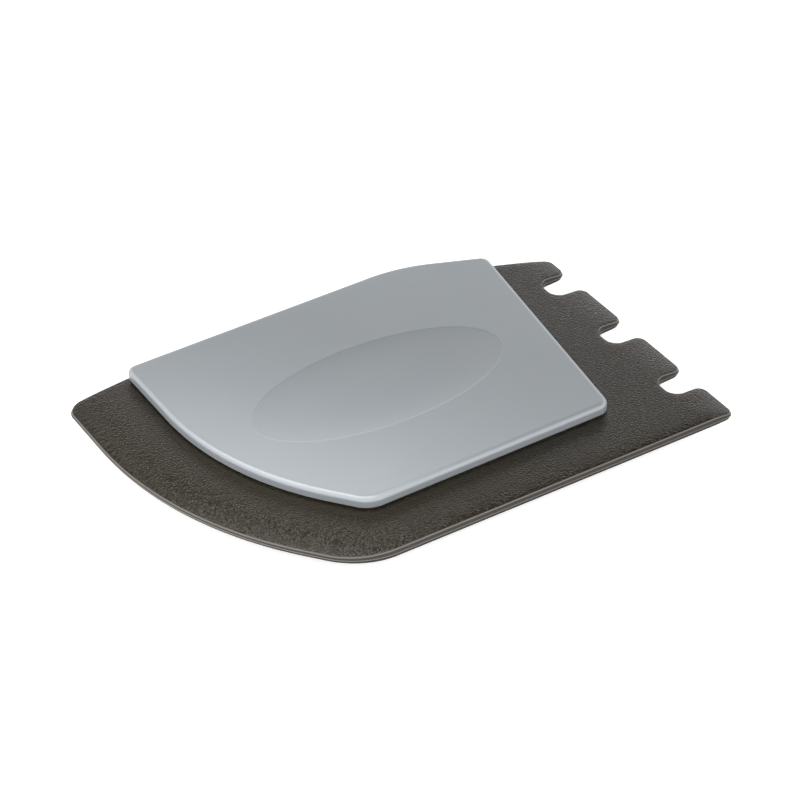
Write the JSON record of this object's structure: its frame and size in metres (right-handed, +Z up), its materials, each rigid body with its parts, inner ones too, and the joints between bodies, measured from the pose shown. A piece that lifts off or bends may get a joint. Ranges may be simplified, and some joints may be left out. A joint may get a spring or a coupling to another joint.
{
  "type": "pan scraper",
  "caption": "Flat hand scraper for pans and grills: a moulded blade with one curved end and one toothed end, held between two grip shells.",
  "frame": {"origin": "middle of the outline's box, on the surface that the lower grip shell lies on", "axes": "+X along the scraper from the curved end towards the teeth, +Y across it from the long straight near edge towards the back edge that the grip is flush with, +Z up through the recess of the upper grip"},
  "size_m": [0.14, 0.0955, 0.0098],
  "materials": {
    "blade_plastic": "dark warm grey nylon, fine spark-eroded grain",
    "grip_plastic": "cool grey nylon, very fine satin grain"
  },
  "bodies": {
    "root": {"blade": "blade_plastic", "upper_grip": "grip_plastic", "lower_grip": "grip_plastic"}
  },
  "joints": []
}
